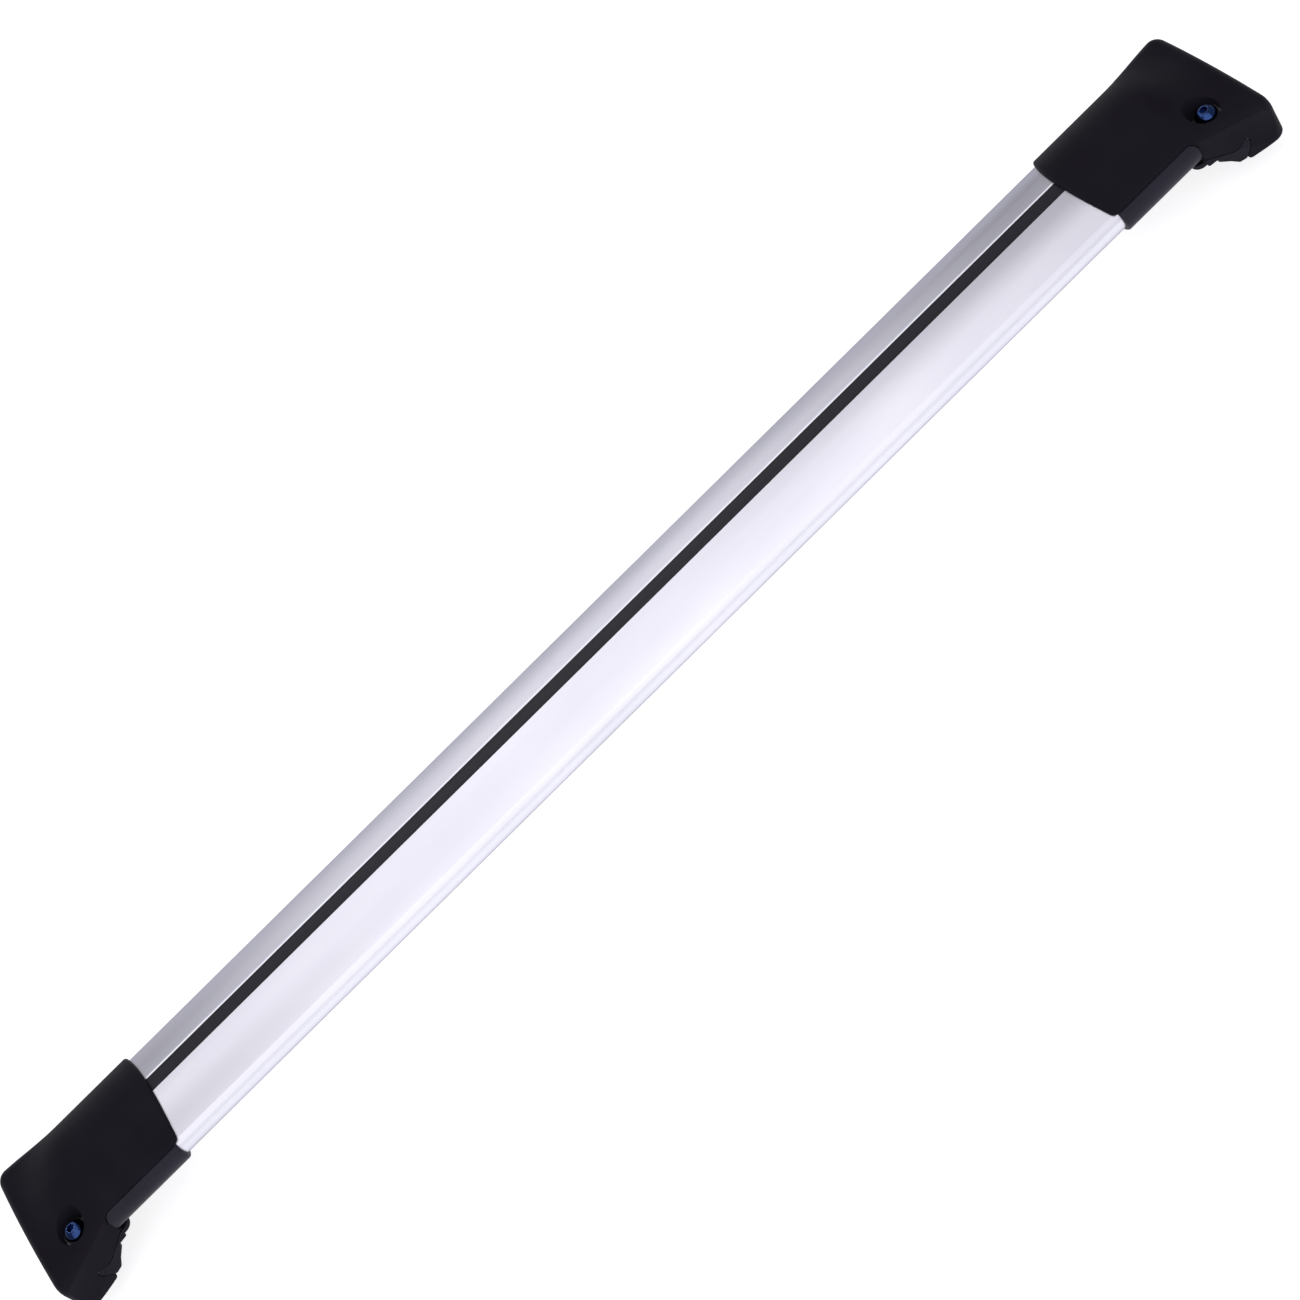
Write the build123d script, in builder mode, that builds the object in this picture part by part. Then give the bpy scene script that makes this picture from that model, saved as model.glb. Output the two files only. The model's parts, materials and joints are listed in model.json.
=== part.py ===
"""Roof rack crossbar: an aluminium wing bar with a clamping foot at each end, in millimetres."""

import os

from build123d import *

# Bar: a wing section, domed above its nose line and nearly flat below it
bar_width = 80.0
bar_crest = 18.5
bar_belly = 10.5
nose_radius = 9.0
bar_wall = 2.2
chamber_round = 1.0
clear_bar = 742.0  # bar that shows between the feet, along its crest
bar_stop = 14.0  # end of the bar inside the sleeve of the foot
nose_height = 31.5  # nose line above the ground that the clamp jaws stand on

# Slot along the crest, and the rubber strip in it
slot_mouth = 10.6
slot_break = 0.9  # lips are chamfered from this far below the crest
lip_thickness = 2.4
channel_width = 19.0
channel_depth = 7.0
channel_wall = 2.0
strip_sink = 1.0  # edges of the strip below the crest
strip_crown = 0.4
strip_play = 0.1
strip_foot_width = 14.0
strip_foot_depth = 1.6

# Foot covers
foot_length = 117.0
sleeve_length = 68.0  # part of the foot that wraps the bar
cover_wall = 2.5
cover_clearance = 0.3
seam_gap = 0.6
seam_height = 8.3  # seam between the covers, above the nose line
seam_corner = 5.5
flare_length = 52.0
flare = 12.0  # how much wider each side gets at the outer end
crest_droop = 16.0
shoulder_droop = 8.0
flare_sections = 6
end_rounding = 8.0
lip_depth = 25.2  # outer lip below the nose line, and its tip beside the slanted seam
lip_tip = 27.5
rim_radius = 115.0  # inner rim of the top cover, round in plan
lower_lead = 9.0  # inner rim of the lower cover, from that of the top cover
scoop_radius = 60.0  # hollow side of the flare, under a crease
scoop_bite = 2.2
scoop_drop = 1.8
scoop_splay = 0.286  # how fast the hollow runs outward and down along the foot
scoop_fall = 0.25
wave_start = 8.5  # wave-shaped lower edge, depths below the nose line
wave_low = 16.6
wave_tail = 11.2
wave_round = 8.0
slant_offset = 7.9  # slanted seam beside the cheek: its top from the bolt axis
slant_top = 16.4
slant_lean = 7.0
edge_round = 2.0
rim_round = 2.0
well_round = 0.8

# Clamp bolt with its washer and nut, size M8
bolt_lead = 19.0  # bolt axis beyond the sleeve of the foot
bolt_offset = 29.5  # bolt axis in front of the middle of the bar
bolt_sink = 7.4  # bolt seat below the top of the cover
bolt_radius = 4.0
head_radius = 7.0
head_rim = 0.6
head_height = 4.4
head_flat_radius = 3.6
socket_width = 5.0
socket_depth = 2.6
washer_radius = 8.0
washer_thickness = 1.6
nut_width = 13.0
nut_height = 6.5
nut_play = 0.2
tip_clearance = 0.9  # bolt tip above the ground
tip_chamfer = 0.8
well_radius = 8.3  # at the bolt seat
well_draft = 0.3  # how fast the well widens upward
well_wall = 1.6
hole_play = 0.3
thread_play = 0.1
slide_play = 0.06

# Bracket that joins the bar to the clamp
bracket_depth = 12.5  # underside of the bracket below the nose line
base_thickness = 6.0
base_half_width = 36.0
base_neck_half_width = 32.0  # where the base passes between the ends of the lower cover
boss_radius = 10.0
flange_thickness = 5.5
flange_inset = 0.6
tenon_length = 45.0
tenon_play = 0.3
rib_thickness = 4.0
rib_spacing = 26.0
rib_top = 8.0
rib_toe = 3.0  # ribs end this far short of the outer edge of the base

# Rail pad and clamp jaw
seat_lead = 9.0  # rail seat starts this far beyond the bar
pad_thickness = 4.0
pad_lap = 0.5  # seat runs this far into its cheeks
pad_corner = 6.0
pad_edge = 1.5
peg_radius = 3.0
peg_height = 3.5
peg_play = 0.1
peg_spacing = 20.0
cheek_lead = 6.0  # cheek slopes down from this far beyond the sleeve
cheek_top = 13.8  # depths of the underside of the cheek below the nose line
cheek_tip = 25.4
cheek_tip_width = 4.3
cheek_round = 1.0
cheek_gap = 0.5  # between the cheek and the jaw leg
leg_width = 19.0
leg_half_width = 38.0
leg_gap = 1.0  # between the rail seat and the jaw leg
leg_chamfer = 9.0
toe_length = 18.5
toe_thickness = 6.0
toe_half_width = 17.0
toe_fillet = 3.0
toe_round = 2.0
jaw_gap = 0.4  # jaw below the bracket
jaw_pad_thickness = 2.0
jaw_pad_margin = 1.5
pin_radius = 4.0
pin_tip = 2.0  # guide pin tip above the ground
pin_cover = 4.0  # bracket left above the guide pin
pin_fit = 0.02

# Screws
screw_radius = 3.0
screw_head_radius = 5.25
screw_head_height = 3.3
screw_length = 16.0
screw_spacing = 50.0
screw_inset = 27.0  # from the bar end
screw_boss_radius = 6.5
screw_boss_height = 1.0
screw_socket = 4.0
screw_socket_depth = 1.8
cover_screw_radius = 2.0
cover_head_radius = 3.8
cover_head_height = 2.6
cover_screw_length = 15.0
cover_screw_spacing = 44.0
cover_screw_lead = 16.0  # from the bar end
cover_recess = 3.2
cover_boss_radius = 4.2

# Places along the bar and heights from the nose line that follow from these sizes
reach = 200.0
foot_inner = clear_bar / 2
sleeve_end = foot_inner + sleeve_length
bar_end = sleeve_end - bar_stop
foot_end = foot_inner + foot_length
flare_start = foot_end - flare_length
bolt_x = sleeve_end + bolt_lead
end_round = min(end_rounding, foot_end - bolt_x - well_radius - 2 * well_wall)  # clear of the well
nose_centre = bar_width / 2 - nose_radius
sleeve_grow = cover_wall + cover_clearance
sleeve_crest = bar_crest + sleeve_grow
sleeve_belly = bar_belly + sleeve_grow
wall_start = sleeve_end + seam_gap
leg_inner = bolt_x - leg_width / 2
leg_outer = bolt_x + leg_width / 2
toe_inner = leg_inner - toe_length
seat_inner = bar_end + seat_lead
seat_outer = leg_inner - leg_gap
seat_depth = bracket_depth + pad_thickness
jaw_top = bracket_depth + jaw_gap
slant_x = bolt_x + slant_offset
cheek_inner = leg_half_width + cheek_gap
cheek_tip_x = slant_x - slant_lean * (cheek_tip - slant_top) / (lip_tip - slant_top)
sleeve_half_width = bar_width / 2 + sleeve_grow
scoop_axis = sleeve_half_width - scoop_bite + scoop_radius * (1 + scoop_splay**2) ** 0.5
lower_inner = foot_inner + lower_lead
lip_under = bar_crest - lip_thickness
slot_floor = lip_under - channel_depth
belly_inside = bar_belly - bar_wall
toe_top = nose_height - toe_thickness
screw_x = bar_end - screw_inset
screw_seat = sleeve_belly + screw_boss_height
cover_screw_x = bar_end + cover_screw_lead
base_top = base_thickness - bracket_depth
cover_screw_seat = cover_recess - bracket_depth
upward = (Align.CENTER, Align.CENTER, Align.MIN)
downward = (Align.CENTER, Align.CENTER, Align.MAX)

side = Plane(origin=(0, 0, nose_height), x_dir=(1, 0, 0), z_dir=(0, -1, 0))


def across(station):
    """Plane across the bar, on the nose line."""
    return Plane(origin=(station, 0, nose_height), x_dir=(0, 1, 0), z_dir=(1, 0, 0))


def level(height):
    """Level plane at a height from the nose line."""
    return Plane.XY.offset(nose_height + height)


def at(x, y, height):
    """Place for an upright feature, its height from the nose line."""
    return Locations((x, y, nose_height + height))


def crown_radius(centre, radius, rise):
    """Radius of an arc of the given rise over the middle that runs into a rounded shoulder."""
    return (centre**2 + rise**2 - radius**2) / (2 * (rise - radius))


def crown(centre, radius, rise):
    """Where an arc of the given rise over the middle runs into a rounded shoulder."""
    bend = crown_radius(centre, radius, rise)
    share = radius / (bend - radius)
    return centre * (1 + share), (bend - rise) * share


def wing(grow):
    """Section of the bar, grown outward."""
    radius = nose_radius + grow
    tip = nose_centre + radius
    crest = bar_crest + grow
    belly = bar_belly + grow
    top_y, top_z = crown(nose_centre, radius, crest)
    low_y, low_z = crown(nose_centre, radius, belly)
    with BuildSketch() as section:
        with BuildLine():
            ThreePointArc((-top_y, top_z), (0, crest), (top_y, top_z))
            ThreePointArc((top_y, top_z), (tip, 0), (low_y, -low_z))
            ThreePointArc((low_y, -low_z), (0, -belly), (-low_y, -low_z))
            ThreePointArc((-low_y, -low_z), (-tip, 0), (-top_y, top_z))
        make_face()
    return section.sketch


def chambers(play):
    """Front and rear hollows of the bar, or tenons that fit them with some play."""
    with BuildSketch() as section:
        add(wing(-bar_wall))
        Rectangle(channel_width + 2 * channel_wall, reach, mode=Mode.SUBTRACT)
        fillet(section.vertices().group_by(SortBy.DISTANCE)[0], chamber_round)
        if play:
            offset(amount=-play)
    return section.sketch


def foot_shape(station, inset):
    """Straight foot that then flares and droops: centre, radius and height of its shoulder, and crest."""
    share = max(0.0, (station - flare_start) / flare_length)
    spread = share**2 * (3 - 2 * share)
    radius = nose_radius + sleeve_grow - inset
    crest = sleeve_crest - inset - crest_droop * spread
    return nose_centre + flare * spread, radius, -shoulder_droop * spread, crest


def cover_height(station, y):
    """Height of the top of the cover from the nose line."""
    centre, radius, shoulder, crest = foot_shape(station, 0)
    bend = crown_radius(centre, radius, crest - shoulder)
    return crest - bend + (bend**2 - y**2) ** 0.5


def foot_section(station, inset):
    """Section of the foot, set in by a wall."""
    centre, radius, shoulder, crest = foot_shape(station, inset)
    half = centre + radius
    arc_y, arc_rise = crown(centre, radius, crest - shoulder)
    arc_z = shoulder + arc_rise
    turn = Vector(half - centre + arc_y - centre, arc_rise).normalized() * radius
    turn_y = centre + turn.X
    turn_z = shoulder + turn.Y
    with BuildSketch(across(station)) as section:
        with BuildLine():
            Line((-half, -nose_height), (-half, shoulder))
            ThreePointArc((-half, shoulder), (-turn_y, turn_z), (-arc_y, arc_z))
            ThreePointArc((-arc_y, arc_z), (0, crest), (arc_y, arc_z))
            ThreePointArc((arc_y, arc_z), (turn_y, turn_z), (half, shoulder))
            Line((half, shoulder), (half, -nose_height))
            Line((half, -nose_height), (-half, -nose_height))
        make_face()
    return section.sketch


def scoop(inset):
    """Round hollow along the front of the flare, set in by a wall."""
    start = (wall_start, -scoop_axis, nose_height - scoop_drop)
    with BuildPart() as hollow_side:
        with BuildSketch(Plane(origin=start, z_dir=(1, -scoop_splay, -scoop_fall))):
            Circle(scoop_radius + inset)
        extrude(amount=reach, both=True)
        with at(wall_start, 0, 0):
            Box(
                reach,
                2 * reach,
                2 * reach,
                align=(Align.MIN, Align.CENTER, Align.CENTER),
                mode=Mode.INTERSECT,
            )
    return hollow_side.part


def foot_form(inset):
    """Solid form of the foot, set in by a wall, with its outer end rounded and its sides hollowed."""
    step = (flare_length - inset) / flare_sections
    stations = [flare_start + step * count for count in range(flare_sections + 1)]
    with BuildPart() as form:
        loft([foot_section(station, inset) for station in stations])
        end = form.faces().sort_by(Axis.X)[-1]
        fillet(end.edges().sort_by(Axis.Z)[1:], end_round - inset)
        extrude(foot_section(flare_start, inset), amount=foot_inner - sleeve_length - flare_start)
        add(scoop(inset), mode=Mode.SUBTRACT)
        add(mirror(scoop(inset), about=Plane.XZ, mode=Mode.PRIVATE), mode=Mode.SUBTRACT)
    return form.part


def rim_profile():
    """Everything outward of the rim of the top cover, in plan."""
    with BuildSketch() as profile:
        with Locations((foot_inner + rim_radius, 0)):
            Rectangle(reach, 2 * reach, align=(Align.MIN, Align.CENTER))
            Circle(rim_radius)
    return profile.sketch


def under_cover_profile():
    """Everything below the lower edge of the top cover, seen from the front."""
    with BuildSketch(side) as profile:
        with BuildLine():
            edge = FilletPolyline(
                (0, seam_height),
                (wall_start, seam_height),
                (wall_start, -wave_start),
                (bolt_x, -wave_low),
                (slant_x + seam_gap, -wave_tail),
                (slant_x + seam_gap, -slant_top),
                (slant_x + seam_gap - slant_lean, -lip_tip),
                (foot_end + end_rounding, -lip_depth),
                radius=(seam_corner, edge_round, wave_round, edge_round, edge_round, edge_round),
            )
            Polyline(edge @ 1, (foot_end + end_rounding, -reach), (0, -reach), edge @ 0)
        make_face()
    return profile.sketch


def sleeve_profile():
    """Everything below the seam and inward of the sleeve end, seen from the front."""
    with BuildSketch(side) as profile:
        with BuildLine():
            edge = FilletPolyline(
                (0, seam_height - seam_gap),
                (sleeve_end, seam_height - seam_gap),
                (sleeve_end, -reach),
                radius=seam_corner - seam_gap,
            )
            Polyline(edge @ 1, (0, -reach), edge @ 0)
        make_face()
    return profile.sketch


def cheek_profile():
    """Cheek of the rail pad between the wave-shaped edge and the slanted seam, seen from the front."""
    with BuildSketch(side) as profile:
        with BuildLine():
            FilletPolyline(
                (wall_start, -wave_start - seam_gap),
                (bolt_x, -wave_low - seam_gap),
                (slant_x, -wave_tail - seam_gap),
                (slant_x, -slant_top),
                (cheek_tip_x, -cheek_tip),
                (cheek_tip_x - cheek_tip_width, -cheek_tip),
                (wall_start + cheek_lead, -cheek_top),
                (wall_start, -cheek_top),
                radius=(
                    cheek_round,
                    wave_round,
                    edge_round - seam_gap,
                    edge_round,
                    cheek_round,
                    edge_round,
                    edge_round,
                    cheek_round,
                ),
                close=True,
            )
        make_face()
    return profile.sketch


def screw_head(radius, rim, flat, height):
    """Half section of a domed screw head that stands on the origin."""
    drop = (flat**2 + height**2 - radius**2 - rim**2) / (2 * (height - rim))
    bend = ((height - drop) ** 2 + flat**2) ** 0.5
    middle = (radius + flat) / 2
    with BuildSketch(Plane.XZ) as section:
        with BuildLine():
            Polyline((flat, height), (0, height), (0, 0), (radius, 0), (radius, rim))
            ThreePointArc((radius, rim), (middle, drop + (bend**2 - middle**2) ** 0.5), (flat, height))
        make_face()
    return section.sketch


def funnel(start, grow):
    """Well over the bolt head from a height upward, set out by a wall."""
    low = well_radius + grow + well_draft * (start - boss_top)
    with BuildPart() as form:
        with at(bolt_x, -bolt_offset, start):
            Cone(low, low + well_draft * sleeve_crest, sleeve_crest, align=upward)
    return form.part


# Bolt seat under the cover, and the guide pin beside it
boss_top = cover_height(bolt_x, bolt_offset) - bolt_sink
head_seat = boss_top + washer_thickness
pin_top = boss_top - pin_cover

# Bar: wing section with two hollows, a slot channel on its crest and a cell under the channel
with BuildPart() as bar:
    with BuildSketch(across(-bar_end)):
        add(wing(0))
        add(chambers(0), mode=Mode.SUBTRACT)
        with Locations((0, -belly_inside)):
            cell_height = slot_floor - channel_wall + belly_inside
            Rectangle(channel_width, cell_height, align=(Align.CENTER, Align.MIN), mode=Mode.SUBTRACT)
        with Locations((0, slot_floor)):
            Rectangle(channel_width, channel_depth, align=(Align.CENTER, Align.MIN), mode=Mode.SUBTRACT)
        with BuildLine():
            Polyline(
                (-slot_mouth / 2, lip_under),
                (slot_mouth / 2, lip_under),
                (slot_mouth / 2, bar_crest - slot_break),
                (slot_mouth / 2 + slot_break, bar_crest),
                (-slot_mouth / 2 - slot_break, bar_crest),
                (-slot_mouth / 2, bar_crest - slot_break),
                close=True,
            )
        make_face(mode=Mode.SUBTRACT)
    extrude(amount=2 * bar_end)
    with at(0, 0, -bar_belly):
        with GridLocations(2 * screw_x, screw_spacing, 2, 2):
            Cylinder(screw_radius + hole_play, 2 * bar_belly, mode=Mode.SUBTRACT)
bar.part.label = "crossbar_extrusion"

# Strip: soft crown in the slot mouth, held by a wider foot under the lips
with BuildPart() as strip:
    with BuildSketch(across(-bar_end)):
        half = slot_mouth / 2 - strip_play
        edge_z = bar_crest - strip_sink
        foot_top = lip_under - strip_play
        foot_low = foot_top - strip_foot_depth
        with BuildLine():
            ThreePointArc((-half, edge_z), (0, edge_z + strip_crown), (half, edge_z))
            Polyline(
                (half, edge_z),
                (half, foot_top),
                (strip_foot_width / 2, foot_top),
                (strip_foot_width / 2, foot_low),
                (-strip_foot_width / 2, foot_low),
                (-strip_foot_width / 2, foot_top),
                (-half, foot_top),
                (-half, edge_z),
            )
        make_face()
    extrude(amount=2 * bar_end)
strip.part.label = "slot_strip"

# Right foot: top cover, a flared shell with a well for the bolt and two bosses for its screws
outer_form = foot_form(0)
inner_form = foot_form(cover_wall)
with BuildPart() as hollow:
    add(inner_form)
    add(funnel(boss_top + cover_clearance, well_wall), mode=Mode.SUBTRACT)
    with at(cover_screw_x, 0, base_top):
        with GridLocations(0, cover_screw_spacing, 1, 2):
            Cylinder(cover_boss_radius, reach, align=upward, mode=Mode.SUBTRACT)
with BuildPart() as top_cover:
    add(outer_form)
    extrude(rim_profile(), amount=reach, both=True, mode=Mode.INTERSECT)
    rim = top_cover.faces().filter_by(GeomType.CYLINDER).sort_by(Axis.X)[0]
    fillet(rim.edges().sort_by(Axis.Z)[1:], rim_round)
    add(hollow.part, mode=Mode.SUBTRACT)
    extrude(under_cover_profile(), amount=reach, both=True, mode=Mode.SUBTRACT)
    add(funnel(boss_top, 0), mode=Mode.SUBTRACT)
    well = top_cover.faces().filter_by(GeomType.CONE).sort_by(SortBy.AREA)[-1]
    well_rim = well.edges().filter_by(lambda edge: edge.bounding_box().min.Z > nose_height + head_seat)
    fillet(well_rim, well_round)
    with at(cover_screw_x, 0, base_top):
        with GridLocations(0, cover_screw_spacing, 1, 2):
            Cylinder(
                cover_screw_radius + thread_play, cover_screw_length, align=upward, mode=Mode.SUBTRACT
            )

# Lower cover: wraps the noses and the belly of the bar, open where the bracket comes down
with BuildPart() as lower_cover:
    with BuildSketch(across(lower_inner)):
        add(wing(sleeve_grow))
    extrude(amount=sleeve_end - lower_inner)
    fillet(lower_cover.faces().sort_by(Axis.X)[0].edges(), rim_round)
    with at(screw_x, 0, -screw_seat):
        with GridLocations(0, screw_spacing, 1, 2):
            Cylinder(screw_boss_radius, screw_seat - bar_belly, align=upward)
    with BuildSketch(across(foot_inner)):
        add(wing(cover_clearance))
    extrude(amount=sleeve_length, mode=Mode.SUBTRACT)
    extrude(sleeve_profile(), amount=reach, both=True, mode=Mode.INTERSECT)
    with at(seat_inner - seam_gap, 0, 0):
        Box(
            sleeve_length,
            2 * base_neck_half_width + 2 * leg_gap,
            reach,
            align=(Align.MIN, Align.CENTER, Align.MAX),
            mode=Mode.SUBTRACT,
        )
    with at(screw_x, 0, -screw_seat):
        with GridLocations(0, screw_spacing, 1, 2):
            Cylinder(screw_radius + hole_play, screw_seat, align=upward, mode=Mode.SUBTRACT)

# Bracket: two tenons in the bar, a flange against its end and a ribbed base that carries the clamp
with BuildPart() as bracket:
    with BuildSketch(across(bar_end - tenon_length)):
        add(chambers(tenon_play))
    extrude(amount=tenon_length)
    with BuildSketch(across(bar_end)):
        add(wing(-flange_inset))
    extrude(amount=flange_thickness)
    with at(seat_inner, 0, -bracket_depth):
        Box(
            leg_outer - seat_inner,
            2 * base_neck_half_width,
            base_thickness,
            align=(Align.MIN, Align.CENTER, Align.MIN),
        )
    with at(leg_outer, 0, -bracket_depth):
        Box(
            leg_outer - wall_start - seam_gap,
            2 * base_half_width,
            base_thickness,
            align=(Align.MAX, Align.CENTER, Align.MIN),
        )
    for place in (-rib_spacing / 2, rib_spacing / 2):
        with BuildSketch(side.offset(-place)):
            with BuildLine():
                Polyline(
                    (bar_end, -bar_belly + flange_inset),
                    (bar_end, rib_top),
                    (leg_outer - rib_toe, base_top),
                    (leg_outer - rib_toe, -bar_belly + flange_inset),
                    close=True,
                )
            make_face()
        extrude(amount=rib_thickness / 2, both=True)
    with at(bolt_x, 0, -bracket_depth):
        with GridLocations(0, 2 * bolt_offset, 1, 2):
            Cylinder(boss_radius, boss_top + bracket_depth, align=upward)
    with at(bolt_x, -bolt_offset, -bracket_depth):
        Cylinder(bolt_radius + hole_play, reach, align=upward, mode=Mode.SUBTRACT)
    with at(bolt_x, bolt_offset, pin_top):
        Cylinder(pin_radius + pin_fit, reach, align=downward, mode=Mode.SUBTRACT)
    with at(screw_x, 0, 0):
        with GridLocations(0, screw_spacing, 1, 2):
            Cylinder(screw_radius + thread_play, reach, mode=Mode.SUBTRACT)
    with at(cover_screw_x, 0, cover_screw_seat):
        with GridLocations(0, cover_screw_spacing, 1, 2):
            Cylinder(cover_boss_radius, reach, align=downward, mode=Mode.SUBTRACT)
            Cylinder(cover_screw_radius + hole_play, base_thickness, align=upward, mode=Mode.SUBTRACT)
    with at((seat_inner + seat_outer) / 2, 0, -bracket_depth):
        with GridLocations(0, peg_spacing, 1, 2):
            Cylinder(peg_radius + peg_play, peg_height + peg_play, align=upward, mode=Mode.SUBTRACT)

# Rail pad: a rubber seat under the bracket with two pegs, and a cheek at each end
with BuildPart() as cheeks:
    add(outer_form)
    extrude(cheek_profile(), amount=reach, both=True, mode=Mode.INTERSECT)
    with at(bolt_x, 0, 0):
        Box(reach, 2 * cheek_inner, reach, mode=Mode.SUBTRACT)
with BuildPart() as rail_pad:
    with BuildSketch(level(-seat_depth)) as seat:
        with Locations((seat_inner, 0)):
            seat_width = 2 * (cheek_inner + pad_lap)
            Rectangle(seat_outer - seat_inner, seat_width, align=(Align.MIN, Align.CENTER))
        fillet(seat.vertices().group_by(Axis.X)[0], pad_corner)
    extrude(amount=pad_thickness)
    fillet(rail_pad.edges().group_by(Axis.Z)[0].sort_by(Axis.X)[0], pad_edge)
    with at((seat_inner + seat_outer) / 2, 0, -bracket_depth):
        with GridLocations(0, peg_spacing, 1, 2):
            Cylinder(peg_radius, peg_height, align=upward)
    add(cheeks.part)

# Clamp jaw: a hook whose leg runs on the bolt and the guide pin, with its toe under the rail
with BuildPart() as jaw:
    with BuildSketch(side):
        with BuildLine():
            Polyline(
                (leg_inner, -jaw_top),
                (leg_outer, -jaw_top),
                (leg_outer, -nose_height),
                (leg_inner + leg_chamfer, -nose_height),
                (leg_inner, leg_chamfer - nose_height),
                close=True,
            )
        make_face()
    extrude(amount=leg_half_width, both=True)
    with BuildSketch(side):
        with BuildLine():
            FilletPolyline(
                (leg_inner, -jaw_top),
                (leg_outer, -jaw_top),
                (leg_outer, -nose_height),
                (toe_inner, -nose_height),
                (toe_inner, -toe_top),
                (leg_inner, -toe_top),
                radius=(0, 0, 0, toe_round, toe_round, toe_fillet),
                close=True,
            )
        make_face()
    extrude(amount=toe_half_width, both=True)
    with at(bolt_x, -bolt_offset, -jaw_top):
        Box(
            nut_width + 2 * nut_play,
            nut_width + 2 * nut_play,
            nut_height + nut_play,
            align=downward,
            mode=Mode.SUBTRACT,
        )
        Cylinder(bolt_radius + hole_play, reach, align=downward, mode=Mode.SUBTRACT)
    with at(bolt_x, bolt_offset, 0):
        Cylinder(pin_radius + slide_play, reach, mode=Mode.SUBTRACT)

# Jaw pad: rubber facing on the toe
with BuildPart() as jaw_pad:
    with at(leg_inner - toe_fillet, 0, -toe_top):
        Box(
            toe_length - toe_fillet - jaw_pad_margin,
            2 * (toe_half_width - jaw_pad_margin),
            jaw_pad_thickness,
            align=(Align.MAX, Align.CENTER, Align.MIN),
        )

# Clamp bolt: domed head with a hexagon socket
with BuildPart() as bolt:
    revolve(screw_head(head_radius, head_rim, head_flat_radius, head_height), Axis.Z)
    with BuildSketch(Plane.XY.offset(head_height)):
        RegularPolygon(socket_width / 2, 6, major_radius=False)
    extrude(amount=-socket_depth, mode=Mode.SUBTRACT)
    Cylinder(bolt_radius, nose_height + head_seat - tip_clearance, align=downward)
    chamfer(bolt.edges().group_by(Axis.Z)[0], tip_chamfer)
bolt_part = bolt.part.moved(Location((bolt_x, -bolt_offset, nose_height + head_seat)))

# Washer under the bolt head
with BuildPart() as washer:
    with at(bolt_x, -bolt_offset, boss_top):
        Cylinder(washer_radius, washer_thickness, align=upward)
        Cylinder(bolt_radius + hole_play, washer_thickness, align=upward, mode=Mode.SUBTRACT)

# Square nut held in the top of the jaw
with BuildPart() as nut:
    with at(bolt_x, -bolt_offset, -jaw_top - nut_play):
        Box(nut_width, nut_width, nut_height, align=downward)
        Cylinder(bolt_radius + thread_play, nut_height, align=downward, mode=Mode.SUBTRACT)

# Guide pin fixed in the bracket
with BuildPart() as pin:
    with at(bolt_x, bolt_offset, pin_top):
        Cylinder(pin_radius, nose_height + pin_top - pin_tip, align=downward)
    chamfer(pin.edges().group_by(Axis.Z)[0], tip_chamfer)

# Two screws through the lower cover and the bar into the tenons
with BuildPart() as bracket_screw:
    revolve(screw_head(screw_head_radius, head_rim, screw_socket, screw_head_height), Axis.Z)
    with BuildSketch(Plane.XY.offset(screw_head_height)):
        RegularPolygon(screw_socket / 2, 6, major_radius=False)
    extrude(amount=-screw_socket_depth, mode=Mode.SUBTRACT)
    Cylinder(screw_radius, screw_length, align=downward)
with BuildPart() as bracket_screws:
    with at(screw_x, 0, -screw_seat):
        with GridLocations(0, screw_spacing, 1, 2):
            add(bracket_screw.part, rotation=(180, 0, 0))

# Two screws up through the base of the bracket into the bosses of the top cover
with BuildPart() as cover_screw:
    revolve(screw_head(cover_head_radius, head_rim, cover_screw_radius, cover_head_height), Axis.Z)
    Cylinder(cover_screw_radius, cover_screw_length, align=downward)
with BuildPart() as cover_screws:
    with at(cover_screw_x, 0, cover_screw_seat):
        with GridLocations(0, cover_screw_spacing, 1, 2):
            add(cover_screw.part, rotation=(180, 0, 0))

# Files: the bar and its strip, and each foot piece on the right and mirrored on the left
os.makedirs("parts", exist_ok=True)
export_step(bar.part, "parts/crossbar_extrusion.step")
export_step(strip.part, "parts/slot_strip.step")
foot_pieces = {
    "top_cover": top_cover.part,
    "lower_cover": lower_cover.part,
    "foot_bracket": bracket.part,
    "rail_pad": rail_pad.part,
    "clamp_jaw": jaw.part,
    "jaw_pad": jaw_pad.part,
    "clamp_bolt": bolt_part,
    "bolt_washer": washer.part,
    "jaw_nut": nut.part,
    "guide_pin": pin.part,
    "bracket_screws": bracket_screws.part,
    "cover_screws": cover_screws.part,
}
for name, piece in foot_pieces.items():
    for hand, placed in (("right", piece), ("left", mirror(piece, about=Plane.YZ))):
        placed.label = f"{hand}_{name}"
        export_step(placed, f"parts/{hand}_{name}.step")
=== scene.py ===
"""Roof rack crossbar: finishes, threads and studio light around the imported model, in metres."""

import json
from math import cos, pi, radians, sin

import bpy
from mathutils import Matrix, Vector


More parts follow.
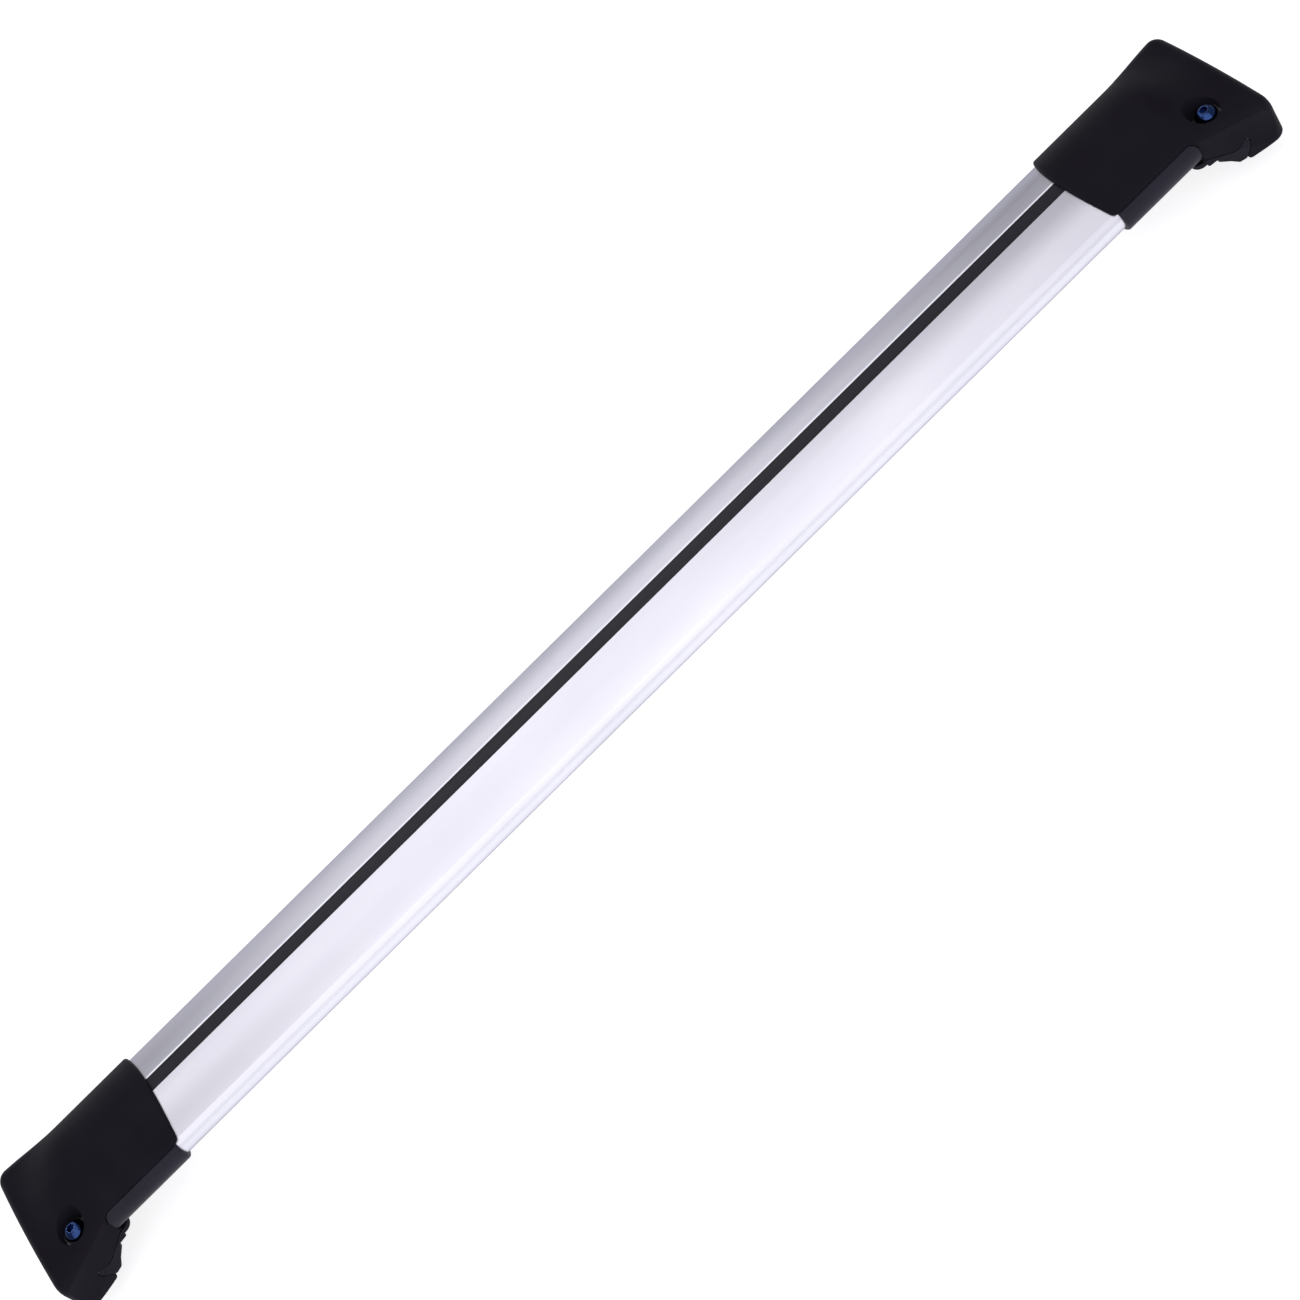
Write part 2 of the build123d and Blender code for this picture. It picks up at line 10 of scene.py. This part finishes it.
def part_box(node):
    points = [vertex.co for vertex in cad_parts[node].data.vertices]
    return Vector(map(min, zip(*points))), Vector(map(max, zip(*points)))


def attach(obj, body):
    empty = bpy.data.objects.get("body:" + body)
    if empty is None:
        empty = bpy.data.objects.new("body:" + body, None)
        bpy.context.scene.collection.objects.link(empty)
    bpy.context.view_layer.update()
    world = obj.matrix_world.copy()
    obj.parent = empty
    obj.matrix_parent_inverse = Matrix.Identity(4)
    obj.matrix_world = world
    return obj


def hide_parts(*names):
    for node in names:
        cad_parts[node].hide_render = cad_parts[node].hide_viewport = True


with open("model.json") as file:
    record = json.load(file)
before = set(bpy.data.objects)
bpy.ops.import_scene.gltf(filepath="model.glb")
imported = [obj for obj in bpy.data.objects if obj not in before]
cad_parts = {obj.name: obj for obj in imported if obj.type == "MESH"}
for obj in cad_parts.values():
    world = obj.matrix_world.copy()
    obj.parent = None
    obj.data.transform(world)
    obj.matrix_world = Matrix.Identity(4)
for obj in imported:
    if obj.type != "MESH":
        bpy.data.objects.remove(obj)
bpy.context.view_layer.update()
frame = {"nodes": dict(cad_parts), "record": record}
nodes = frame["nodes"]
feet = ("left", "right")
mm = 0.001

# Camera: the photograph's view from the front and above, rolled so that the bar climbs to the right
image_side = 1300
focal_pixels = 2733
sensor_width = 36.0
view_elevation = radians(46.0)
view_roll = radians(44.62)
view_distance = 1.6
bar_middle = Vector((0, 0, 31.5 * mm))
bar_middle_pixel = (619.1, 651.1)

# Clamp bolt as modelled, and how its mesh is merged and shaded
head_height = 4.4 * mm
shank_radius = 4.0 * mm
merge_gap = 0.01 * mm
smooth_below = radians(35)

# Its thread, size M8
thread_pitch = 1.25 * mm
thread_root = 3.35 * mm
thread_foot = 3.25 * mm  # inner edge of the ridge, sunk into the shank
thread_crest = 3.95 * mm
thread_base = 1.05 * mm  # height of the ridge's section at its foot
thread_flat = 0.16 * mm  # and at its crest
section_sides = 4
thread_steps = 24  # in one turn
thread_run_out = 1.2 * mm  # plain shank left under the head and above the tip

# Finishes
pattern_range = (0.3, 0.7)  # most of a noise pattern's values lie between these
crown_half_width = 3.2 * mm  # the rubber strip is palest up to here from its middle; further out it darkens with painted shade
edge_half_width = 5.2 * mm  # and darkest from here on, painted shade from the slot's lips
# painted shade: how dark the strip is painted, from its crown out to its edges
edge_shade_range = (0.2, 0.6)
bloom_share = 0.2

# Studio
floor_size = 12.0
open_jaw_drop = 10.5 * mm  # the floor lies just under the jaws when they are open
white_reach = 1.3  # the floor is white up to here from its middle
grey_reach = 5.0  # and as grey as the background from here on
white_glow = 0.78
grey_glow = 0.13
background_glow = 0.33
light_target = Vector((0, 0, 30 * mm))
lamps = (  # name, place, size and brightness
    ("overhead_box", (-0.05, 0.1, 1.6), (1.44, 2.2), 1.0),
    ("back_panel", (-0.05, 1.7, 1.0), (1.15, 1.9), 0.79),
    ("front_panel", (-0.3, -1.7, 1.25), (3.2, 2.4), 1.06),
    ("left_kicker", (-0.92, 1.05, 1.18), (0.08, 0.08), 11.0),
    ("right_kicker", (0.92, 1.05, 1.18), (0.08, 0.08), 11.0),
)


def linear(colour):
    """Linear colour of an sRGB hex value."""
    parts = [int(colour[place:place + 2], 16) / 255 for place in (1, 3, 5)]
    parts = [part / 12.92 if part <= 0.04045 else ((part + 0.055) / 1.055) ** 2.4 for part in parts]
    return (*parts, 1.0)


def add_node(tree, kind, settings=None, values=None, links=None):
    """Adds a node with its settings, socket values and links."""
    node = tree.nodes.new(kind)
    for name, value in (settings or {}).items():
        setattr(node, name, value)
    for name, value in (values or {}).items():
        node.inputs[name].default_value = value
    for name, source in (links or {}).items():
        tree.links.new(source, node.inputs[name])
    return node


def start_material(name):
    """An empty material and the piece's own coordinates: (material, tree, coordinates)."""
    material = bpy.data.materials.new(name)
    material.use_nodes = True
    tree = material.node_tree
    tree.nodes.clear()
    return material, tree, add_node(tree, "ShaderNodeTexCoord").outputs["Object"]


def pattern(tree, place, size, stretch=(1, 1, 1), detail=2.0):
    """Noise whose grains are about this size, longer where stretch is more than 1."""
    scaled = add_node(
        tree, "ShaderNodeMapping",
        values={"Scale": [1 / (size * length) for length in stretch]},
        links={"Vector": place},
    )
    noise = add_node(
        tree, "ShaderNodeTexNoise",
        values={"Scale": 1.0, "Detail": detail},
        links={"Vector": scaled.outputs["Vector"]},
    )
    return noise.outputs["Fac"]


def end_material(tree, shade, colours, texture, roughness, relief, shine):
    """The shader, whose colour follows one pattern, and whose roughness and relief follow another."""
    colour = add_node(tree, "ShaderNodeValToRGB", links={"Fac": shade})
    for stop, position, value in zip(colour.color_ramp.elements, pattern_range, colours):
        stop.position = position
        stop.color = linear(value)
    polish = add_node(
        tree, "ShaderNodeMapRange",
        values={
            "From Min": pattern_range[0], "From Max": pattern_range[1],
            "To Min": roughness[0], "To Max": roughness[1],
        },
        links={"Value": texture},
    )
    raised = add_node(tree, "ShaderNodeBump", values={"Distance": relief}, links={"Height": texture})
    shader = add_node(
        tree, "ShaderNodeBsdfPrincipled",
        values=shine,
        links={
            "Base Color": colour.outputs["Color"],
            "Roughness": polish.outputs["Result"],
            "Normal": raised.outputs["Normal"],
        },
    )
    add_node(tree, "ShaderNodeOutputMaterial", links={"Surface": shader.outputs["BSDF"]})
    return shader


def anodised_aluminium():
    """Extruded aluminium, satin anodised: a cool sheen, darker at grazing angles, with faint draw lines."""
    material, tree, place = start_material("satin_anodised_aluminium")
    draw_lines = pattern(tree, place, 0.5 * mm, stretch=(400, 1, 1))  # coarser than the real ones, to show
    clouds = pattern(tree, place, 30 * mm, stretch=(4, 1, 1))
    end_material(
        tree, clouds, ("#DDDCE6", "#E4E3EC"), draw_lines, roughness=(0.34, 0.42), relief=0.004 * mm,
        shine={"Metallic": 1.0, "Specular Tint": linear("#8A8A92")},
    )
    return material


def strip_rubber():
    """Extruded rubber: charcoal, with painted shade darkening it towards its edges, a fine bloom and lines
    along its length.
    """
    material, tree, place = start_material("extruded_rubber")
    bloom = pattern(tree, place, 0.8 * mm, stretch=(3, 1, 1), detail=4.0)
    lines = pattern(tree, place, 0.6 * mm, stretch=(300, 1, 1))  # coarser than the real ones, to show
    across = add_node(tree, "ShaderNodeSeparateXYZ", links={"Vector": place})
    offset = add_node(tree, "ShaderNodeMath", {"operation": "ABSOLUTE"}, links={0: across.outputs["Y"]})
    edge_shade = add_node(
        tree, "ShaderNodeMapRange",
        values={
            "From Min": crown_half_width, "From Max": edge_half_width,
            "To Min": edge_shade_range[0], "To Max": edge_shade_range[1],
        },
        links={"Value": offset.outputs["Value"]},
    )
    # painted shade towards the edges, with the real fine bloom added
    shade_and_bloom = add_node(
        tree, "ShaderNodeMath", {"operation": "MULTIPLY_ADD"},
        values={1: bloom_share},
        links={0: bloom, 2: edge_shade.outputs["Result"]},
    )
    # the second, darker colour is painted shade along the strip's edges
    end_material(
        tree, shade_and_bloom.outputs["Value"], ("#1A1722", "#0A090D"), lines, roughness=(0.4, 0.55), relief=0.02 * mm,
        shine={"IOR": 1.52, "Specular IOR Level": 0.27},
    )
    return material


def black_nylon(name, colours, gloss, roughness, relief):
    """Moulded glass-filled nylon: near black with a faint violet cast, and the tool's spark-eroded grain."""
    material, tree, place = start_material(name)
    pits = pattern(tree, place, 0.45 * mm, detail=3.0)  # coarser than the real ones, to show
    clouds = pattern(tree, place, 25 * mm)
    end_material(
        tree, clouds, colours, pits, roughness, relief,
        shine={"IOR": 1.46, "Specular IOR Level": gloss},
    )
    return material


def cast_aluminium():
    """Die-cast aluminium, left as cast: grey, slightly mottled, with a fine skin."""
    material, tree, place = start_material("die_cast_aluminium")
    skin = pattern(tree, place, 0.9 * mm, detail=4.0)
    mottle = pattern(tree, place, 12 * mm)
    end_material(
        tree, mottle, ("#9A9A9E", "#B2B2B6"), skin, roughness=(0.42, 0.58), relief=0.04 * mm,
        shine={"Metallic": 1.0},
    )
    return material


def pad_rubber():
    """Moulded rubber: soft black with a fine matt grain."""
    material, tree, place = start_material("moulded_rubber")
    pits = pattern(tree, place, 0.6 * mm, detail=3.0)
    clouds = pattern(tree, place, 15 * mm)
    end_material(
        tree, clouds, ("#1B1921", "#211F28"), pits, roughness=(0.62, 0.8), relief=0.03 * mm,
        shine={"IOR": 1.52, "Specular IOR Level": 0.08},
    )
    return material


def black_casting():
    """Cast aluminium under black powder coat: a low sheen with orange peel."""
    material, tree, place = start_material("black_powder_coat")
    peel = pattern(tree, place, 1.6 * mm)
    clouds = pattern(tree, place, 20 * mm)
    end_material(
        tree, clouds, ("#17161A", "#1C1B20"), peel, roughness=(0.4, 0.5), relief=0.05 * mm,
        shine={"IOR": 1.5, "Specular IOR Level": 0.15},
    )
    return material


def blue_zinc_steel():
    """Steel with a blue dyed zinc plating: deep glossy blue with faint turning marks."""
    material, tree, place = start_material("blue_plated_steel")
    marks = pattern(tree, place, 0.35 * mm, detail=3.0)
    clouds = pattern(tree, place, 4 * mm)
    end_material(
        tree, clouds, ("#0A2A5C", "#103A76"), marks, roughness=(0.1, 0.18), relief=0.006 * mm,
        shine={"Metallic": 1.0, "Coat Weight": 0.5},
    )
    return material


def black_steel():
    """Steel with black oxide: dark grey, oiled, with a fine mottle."""
    material, tree, place = start_material("black_oxide_steel")
    mottle = pattern(tree, place, 1.2 * mm, detail=4.0)
    end_material(
        tree, mottle, ("#2B2B2F", "#37373B"), mottle, roughness=(0.36, 0.5), relief=0.004 * mm,
        shine={"Metallic": 1.0},
    )
    return material


def zinc_steel():
    """Bright zinc plated steel: silvery with a cool, slightly uneven plating."""
    material, tree, place = start_material("bright_zinc_steel")
    mottle = pattern(tree, place, 1.5 * mm, detail=4.0)
    end_material(
        tree, mottle, ("#B9BCC2", "#CCCED2"), mottle, roughness=(0.24, 0.36), relief=0.004 * mm,
        shine={"Metallic": 1.0},
    )
    return material


def pale_floor():
    """Painted studio floor: matt white, lit from within so that it stays white, fading to grey far away."""
    material, tree, place = start_material("matt_white_paint")
    clouds = pattern(tree, place, 400 * mm)
    shader = end_material(
        tree, clouds, ("#BCBCC0", "#C2C2C6"), clouds, roughness=(0.88, 0.92), relief=0.01 * mm,
        shine={"Emission Color": linear("#FFFFFF")},
    )
    away = add_node(tree, "ShaderNodeVectorMath", {"operation": "LENGTH"}, links={0: place})
    glow = add_node(
        tree, "ShaderNodeMapRange", {"interpolation_type": "SMOOTHSTEP"},
        values={
            "From Min": white_reach, "From Max": grey_reach,
            "To Min": white_glow, "To Max": grey_glow,
        },
        links={"Value": away.outputs["Value"]},
    )
    tree.links.new(glow.outputs["Result"], shader.inputs["Emission Strength"])
    return material


finishes = {
    "anodised_aluminium": anodised_aluminium(),
    "strip_rubber": strip_rubber(),
    "cover_plastic": black_nylon(
        "grained_black_nylon", ("#18161D", "#1C1A22"), gloss=0.05, roughness=(0.5, 0.66), relief=0.03 * mm,
    ),
    "lower_plastic": black_nylon(
        "smooth_black_nylon", ("#211F29", "#26232F"), gloss=0.13, roughness=(0.4, 0.5), relief=0.015 * mm,
    ),
    "cast_aluminium": cast_aluminium(),
    "pad_rubber": pad_rubber(),
    "black_casting": black_casting(),
    "blue_zinc_steel": blue_zinc_steel(),
    "black_steel": black_steel(),
    "zinc_steel": zinc_steel(),
}


def dress(piece, finish):
    """Gives a piece one finish."""
    piece.data.materials.clear()
    piece.data.materials.append(finishes[finish])


for subpart in frame["record"]["subparts"]:
    dress(nodes[subpart["node"]], subpart["material_slot"])
for foot in feet:  # the lower covers are smoother and a little paler than the top covers
    dress(nodes[f"{foot}_lower_cover"], "lower_plastic")


def choose(piece, wanted):
    """Opens a piece in edit mode with only the wanted points selected."""
    bpy.ops.object.select_all(action="DESELECT")
    piece.select_set(True)
    bpy.context.view_layer.objects.active = piece
    bpy.ops.object.mode_set(mode="EDIT")
    bpy.ops.mesh.select_mode(type="VERT")
    bpy.ops.mesh.select_all(action="DESELECT")
    bpy.ops.object.mode_set(mode="OBJECT")
    for point in piece.data.vertices:
        point.select = wanted(point.co)
    bpy.ops.object.mode_set(mode="EDIT")


def thread_ridge(axis, bottom, turns):
    """Helical ridge: a plane drawn out to the thread's section and swept up round the bolt's axis."""
    depth = thread_crest - thread_foot
    bpy.ops.object.select_all(action="DESELECT")
    bpy.ops.mesh.primitive_plane_add(size=depth, location=(axis.x, axis.y, bottom), rotation=(pi / 2, 0, 0))
    ridge = bpy.context.object
    bpy.ops.object.transform_apply(location=False, rotation=True, scale=False)
    bpy.ops.object.mode_set(mode="EDIT")
    bpy.ops.mesh.delete(type="ONLY_FACE")
    bpy.ops.mesh.select_all(action="SELECT")
    bpy.ops.transform.resize(value=(1, 1, thread_base / depth))
    bpy.ops.transform.translate(value=(thread_foot + depth / 2, 0, 0))
    bpy.ops.object.mode_set(mode="OBJECT")
    choose(ridge, lambda point: point.x > thread_foot + depth / 2)
    bpy.ops.transform.resize(value=(1, 1, thread_flat / thread_base))
    bpy.ops.object.mode_set(mode="OBJECT")
    sweep = ridge.modifiers.new("thread", "SCREW")
    sweep.screw_offset = thread_pitch
    sweep.iterations = turns
    sweep.steps = sweep.render_steps = thread_steps
    bpy.ops.object.modifier_apply(modifier=sweep.name)
    bpy.ops.object.transform_apply(location=True, rotation=False, scale=False)
    choose(ridge, lambda point: True)
    bpy.ops.mesh.fill_holes(sides=section_sides)
    bpy.ops.mesh.normals_make_consistent(inside=False)
    bpy.ops.object.mode_set(mode="OBJECT")
    return ridge


def threaded_bolt(foot):
    """Clamp bolt with its thread: the modelled head, a shank cut to the root and a helical ridge."""
    node = f"{foot}_clamp_bolt"
    low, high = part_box(node)
    axis = Vector(((low[0] + high[0]) / 2, (low[1] + high[1]) / 2, 0))
    under_head = high[2] - head_height

    bolt = bpy.data.objects.new(f"{foot}_threaded_bolt", nodes[node].data.copy())
    bpy.context.scene.collection.objects.link(bolt)
    choose(bolt, lambda point: True)
    bpy.ops.mesh.remove_doubles(threshold=merge_gap)
    bpy.ops.object.mode_set(mode="OBJECT")
    bpy.ops.mesh.customdata_custom_splitnormals_clear()
    choose(bolt, lambda point: (
        point.z < under_head + merge_gap and (point - axis).xy.length < shank_radius + merge_gap
    ))
    cut = thread_root / shank_radius
    bpy.ops.transform.resize(value=(cut, cut, 1), center_override=axis)
    bpy.ops.object.mode_set(mode="OBJECT")

    bottom = low[2] + thread_run_out
    ridge = thread_ridge(axis, bottom, int((under_head - thread_run_out - bottom) / thread_pitch))
    bpy.ops.object.select_all(action="DESELECT")
    ridge.select_set(True)
    bolt.select_set(True)
    bpy.context.view_layer.objects.active = bolt
    bpy.ops.object.join()
    bpy.ops.object.shade_smooth_by_angle(angle=smooth_below)
    dress(bolt, "blue_zinc_steel")
    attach(bolt, f"{foot}_bolt")
    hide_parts(node)


for foot in feet:
    threaded_bolt(foot)


def studio():
    """Pale floor, a long soft box overhead, a panel behind, a wide one in front and two small rear lamps."""
    bpy.ops.object.select_all(action="DESELECT")
    bpy.ops.mesh.primitive_plane_add(size=floor_size, location=(0, 0, -open_jaw_drop))
    floor = bpy.context.object
    floor.name = "floor"
    floor.data.materials.append(pale_floor())

    world = bpy.data.worlds.new("studio")
    world.use_nodes = True
    background = world.node_tree.nodes["Background"]
    background.inputs["Color"].default_value = linear("#F2F2F8")
    background.inputs["Strength"].default_value = background_glow
    bpy.context.scene.world = world

    for name, place, size, brightness in lamps:
        light = bpy.data.lights.new(name, "AREA")
        light.shape = "RECTANGLE"
        light.size, light.size_y = size
        light.energy = brightness * pi * light.size * light.size_y
        lamp = bpy.data.objects.new(name, light)
        lamp.location = place
        lamp.rotation_euler = (light_target - Vector(place)).to_track_quat("-Z", "Y").to_euler()
        bpy.context.scene.collection.objects.link(lamp)


def photograph_camera():
    """Camera at the photograph's angle, with the middle of the bar at its place in the frame."""
    ahead = Vector((0, cos(view_elevation), -sin(view_elevation)))
    level_right = Vector((1, 0, 0))
    level_up = level_right.cross(ahead)
    right = level_right * cos(view_roll) - level_up * sin(view_roll)
    up = level_right * sin(view_roll) + level_up * cos(view_roll)
    lens = bpy.data.cameras.new("photograph")
    lens.sensor_width = sensor_width
    lens.lens = focal_pixels / image_side * sensor_width
    lens.shift_x = 0.5 - bar_middle_pixel[0] / image_side
    lens.shift_y = bar_middle_pixel[1] / image_side - 0.5
    camera = bpy.data.objects.new("photograph", lens)
    turn = Matrix((right, up, -ahead)).transposed().to_4x4()
    camera.matrix_world = Matrix.Translation(bar_middle - ahead * view_distance) @ turn
    bpy.context.scene.collection.objects.link(camera)
    bpy.context.scene.camera = camera


studio()
photograph_camera()
bpy.context.scene.view_settings.view_transform = "Standard"
